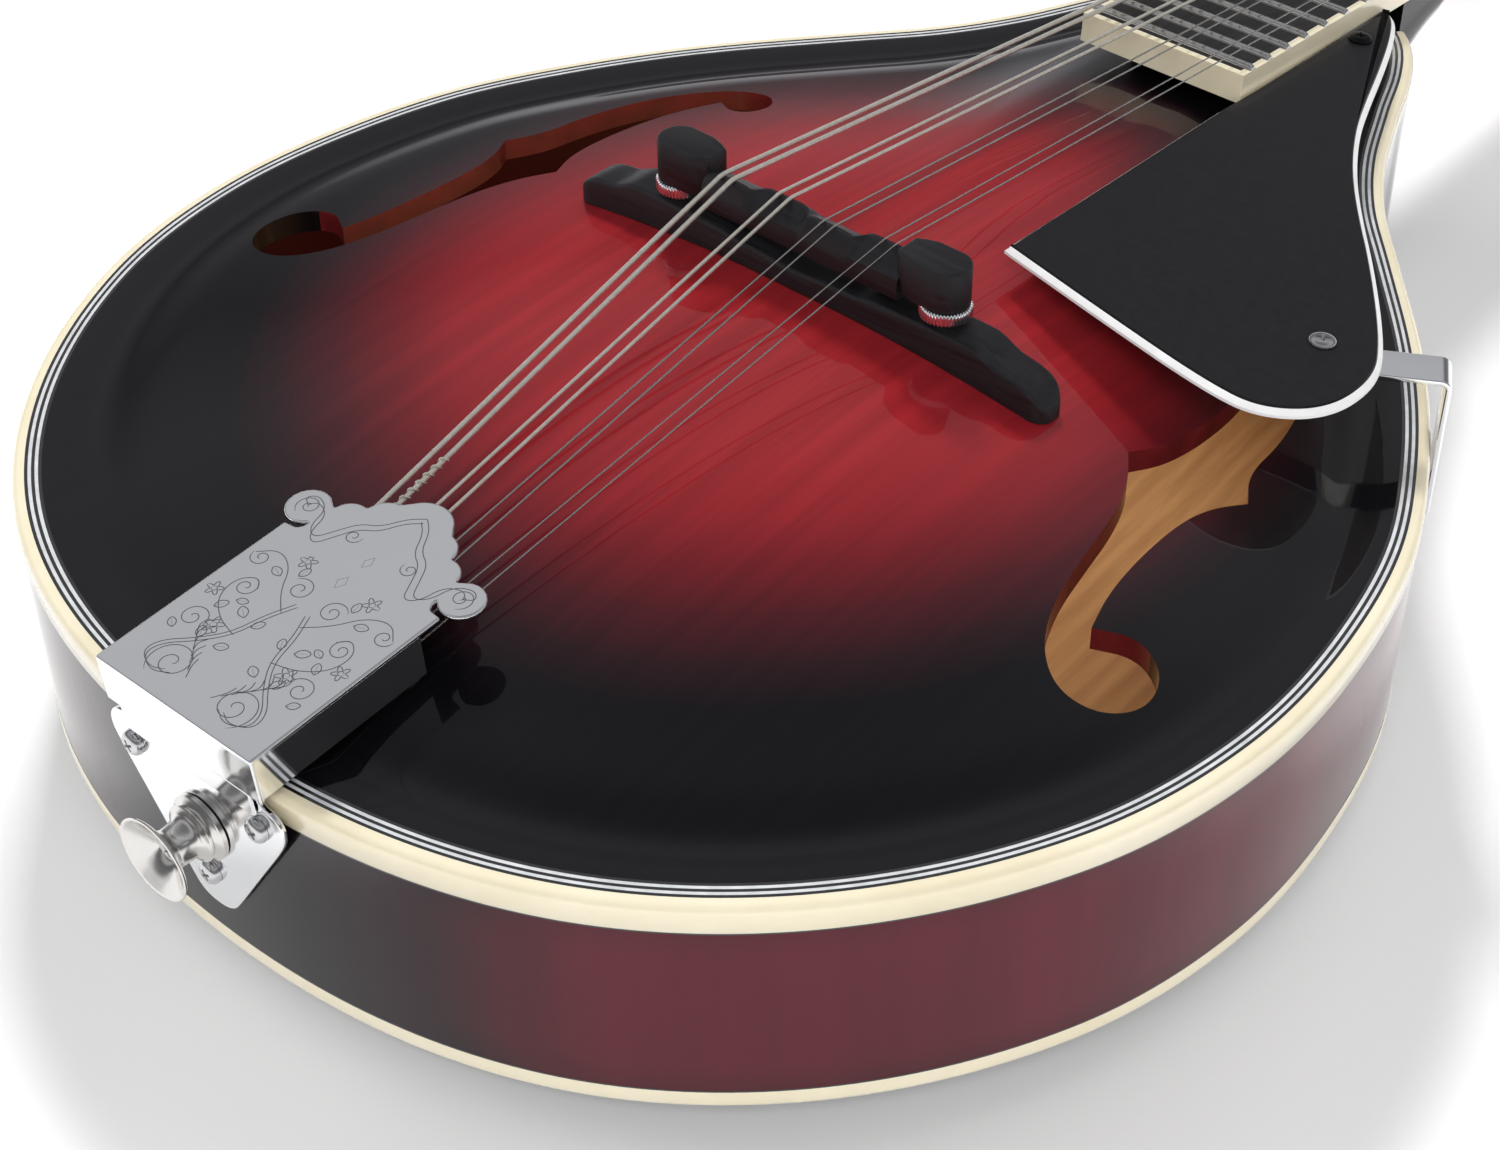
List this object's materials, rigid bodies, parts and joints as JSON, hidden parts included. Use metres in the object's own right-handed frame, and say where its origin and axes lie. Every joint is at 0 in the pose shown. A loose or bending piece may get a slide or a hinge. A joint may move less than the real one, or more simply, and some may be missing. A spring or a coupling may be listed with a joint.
{
  "type": "mandolin",
  "caption": "Teardrop arched-top mandolin with f-holes, floating adjustable bridge, tailpiece with sliding cover, pickguard and geared tuners.",
  "frame": {"origin": "bottom centre of the bounding box, under the middle of the instrument's length, on the plane it lies on face up", "axes": "+Y from the tail to the headstock, +X to the treble side, +Z from the back to the top"},
  "size_m": [0.2552, 0.639, 0.0901],
  "materials": {
    "sunburst_gloss": "gloss lacquer over stained wood",
    "cream_binding": "gloss",
    "purfling": "gloss",
    "raw_wood": "bare",
    "ebony": "oiled",
    "black_plastic": "gloss",
    "bone": "polished",
    "nickel": "polished plate",
    "screw_steel": "satin",
    "bronze_wound": "wound wire",
    "button_plastic": "gloss"
  },
  "bodies": {
    "body": {"soundboard": "sunburst_gloss", "back_plate": "sunburst_gloss", "rib_bass": "sunburst_gloss", "rib_treble": "sunburst_gloss", "top_binding": "cream_binding", "purfling": "purfling", "back_binding": "cream_binding", "linings": "raw_wood", "neck_block": "raw_wood", "tail_block": "raw_wood", "tone_bars": "raw_wood", "neck": "sunburst_gloss", "headstock_veneer": "black_plastic", "truss_rod": "screw_steel", "truss_rod_cover": "black_plastic", "headstock_screws": "screw_steel", "fretboard": "ebony", "fretboard_binding": "cream_binding", "frets": "screw_steel", "position_dots": "bone", "nut": "bone", "fretboard_support": "ebony", "bridge_base": "ebony", "bridge_posts": "nickel", "tailpiece_base": "nickel", "tailpiece_screws": "screw_steel", "strap_button": "nickel", "strap_button_screw": "screw_steel", "pickguard": "black_plastic", "pickguard_bracket": "nickel", "pickguard_screws": "screw_steel", "strings_wound": "bronze_wound", "strings_plain": "screw_steel", "tuner_bushings": "nickel", "tuner_plate_bass": "nickel", "tuner_plate_treble": "nickel", "gear_screws": "screw_steel"},
    "tuner_post_b1": {"tuner_post_b1": "screw_steel"},
    "tuner_button_b1": {"tuner_button_b1": "button_plastic"},
    "tuner_post_b2": {"tuner_post_b2": "screw_steel"},
    "tuner_button_b2": {"tuner_button_b2": "button_plastic"},
    "tuner_post_b3": {"tuner_post_b3": "screw_steel"},
    "tuner_button_b3": {"tuner_button_b3": "button_plastic"},
    "tuner_post_b4": {"tuner_post_b4": "screw_steel"},
    "tuner_button_b4": {"tuner_button_b4": "button_plastic"},
    "tuner_post_t1": {"tuner_post_t1": "screw_steel"},
    "tuner_button_t1": {"tuner_button_t1": "button_plastic"},
    "tuner_post_t2": {"tuner_post_t2": "screw_steel"},
    "tuner_button_t2": {"tuner_button_t2": "button_plastic"},
    "tuner_post_t3": {"tuner_post_t3": "screw_steel"},
    "tuner_button_t3": {"tuner_button_t3": "button_plastic"},
    "tuner_post_t4": {"tuner_post_t4": "screw_steel"},
    "tuner_button_t4": {"tuner_button_t4": "button_plastic"},
    "saddle": {"bridge_saddle": "ebony"},
    "thumbwheel_bass": {"thumbwheel_bass": "nickel"},
    "thumbwheel_treble": {"thumbwheel_treble": "nickel"},
    "cover": {"tailpiece_cover": "nickel"},
    "rod_nut": {"truss_rod_nut": "screw_steel"}
  },
  "joints": [
    {"name": "post_b1_turn", "type": "hinge", "parent": "body", "child": "tuner_post_b1", "pos_m": [-0.018, 0.22025, 0.0232], "axis": [0, 0.2689, 0.9632], "continuous": true},
    {"name": "button_b1_turn", "type": "hinge", "parent": "body", "child": "tuner_button_b1", "pos_m": [-0.018, 0.21196, 0.02551], "axis": [1, 0, 0], "continuous": true},
    {"name": "post_b2_turn", "type": "hinge", "parent": "body", "child": "tuner_post_b2", "pos_m": [-0.018, 0.2424, 0.01701], "axis": [0, 0.2689, 0.9632], "continuous": true},
    {"name": "button_b2_turn", "type": "hinge", "parent": "body", "child": "tuner_button_b2", "pos_m": [-0.018, 0.23412, 0.01933], "axis": [1, 0, 0], "continuous": true},
    {"name": "post_b3_turn", "type": "hinge", "parent": "body", "child": "tuner_post_b3", "pos_m": [-0.018, 0.26455, 0.01083], "axis": [0, 0.2689, 0.9632], "continuous": true},
    {"name": "button_b3_turn", "type": "hinge", "parent": "body", "child": "tuner_button_b3", "pos_m": [-0.018, 0.25627, 0.01314], "axis": [1, 0, 0], "continuous": true},
    {"name": "post_b4_turn", "type": "hinge", "parent": "body", "child": "tuner_post_b4", "pos_m": [-0.018, 0.28671, 0.00464], "axis": [0, 0.2689, 0.9632], "continuous": true},
    {"name": "button_b4_turn", "type": "hinge", "parent": "body", "child": "tuner_button_b4", "pos_m": [-0.018, 0.27842, 0.00696], "axis": [1, 0, 0], "continuous": true},
    {"name": "post_t1_turn", "type": "hinge", "parent": "body", "child": "tuner_post_t1", "pos_m": [0.018, 0.22025, 0.0232], "axis": [0, 0.2689, 0.9632], "continuous": true},
    {"name": "button_t1_turn", "type": "hinge", "parent": "body", "child": "tuner_button_t1", "pos_m": [0.018, 0.21196, 0.02551], "axis": [1, 0, 0], "continuous": true},
    {"name": "post_t2_turn", "type": "hinge", "parent": "body", "child": "tuner_post_t2", "pos_m": [0.018, 0.2424, 0.01701], "axis": [0, 0.2689, 0.9632], "continuous": true},
    {"name": "button_t2_turn", "type": "hinge", "parent": "body", "child": "tuner_button_t2", "pos_m": [0.018, 0.23412, 0.01933], "axis": [1, 0, 0], "continuous": true},
    {"name": "post_t3_turn", "type": "hinge", "parent": "body", "child": "tuner_post_t3", "pos_m": [0.018, 0.26455, 0.01083], "axis": [0, 0.2689, 0.9632], "continuous": true},
    {"name": "button_t3_turn", "type": "hinge", "parent": "body", "child": "tuner_button_t3", "pos_m": [0.018, 0.25627, 0.01314], "axis": [1, 0, 0], "continuous": true},
    {"name": "post_t4_turn", "type": "hinge", "parent": "body", "child": "tuner_post_t4", "pos_m": [0.018, 0.28671, 0.00464], "axis": [0, 0.2689, 0.9632], "continuous": true},
    {"name": "button_t4_turn", "type": "hinge", "parent": "body", "child": "tuner_button_t4", "pos_m": [0.018, 0.27842, 0.00696], "axis": [1, 0, 0], "continuous": true},
    {"name": "saddle_height", "type": "slide", "parent": "body", "child": "saddle", "axis": [0, 0, 1], "range_m": [-0.0012, 0]},
    {"name": "wheel_bass_turn", "type": "hinge", "parent": "saddle", "child": "thumbwheel_bass", "pos_m": [-0.032, -0.16036, 0.0787], "axis": [0, 0, 1], "range_deg": [-432.5, 0.5]},
    {"name": "wheel_treble_turn", "type": "hinge", "parent": "saddle", "child": "thumbwheel_treble", "pos_m": [0.032, -0.16036, 0.0787], "axis": [0, 0, 1], "range_deg": [-432.5, 0.5]},
    {"name": "cover_slide", "type": "slide", "parent": "body", "child": "cover", "axis": [0, -0.9969, -0.0785], "range_m": [0, 0.032]},
    {"name": "rod_nut_turn", "type": "hinge", "parent": "body", "child": "rod_nut", "pos_m": [0, 0.20405, 0.04217], "axis": [0, 0.9968, -0.0802], "range_deg": [-180, 180]}
  ],
  "couplings": [
    {"joint": "button_b1_turn", "follows": "post_b1_turn", "ratio": -16},
    {"joint": "button_b2_turn", "follows": "post_b2_turn", "ratio": -16},
    {"joint": "button_b3_turn", "follows": "post_b3_turn", "ratio": -16},
    {"joint": "button_b4_turn", "follows": "post_b4_turn", "ratio": -16},
    {"joint": "button_t1_turn", "follows": "post_t1_turn", "ratio": -16},
    {"joint": "button_t2_turn", "follows": "post_t2_turn", "ratio": -16},
    {"joint": "button_t3_turn", "follows": "post_t3_turn", "ratio": -16},
    {"joint": "button_t4_turn", "follows": "post_t4_turn", "ratio": -16},
    {"joint": "wheel_bass_turn", "follows": "saddle_height", "rad_per_m": 6283.2},
    {"joint": "wheel_treble_turn", "follows": "saddle_height", "rad_per_m": 6283.2}
  ]
}
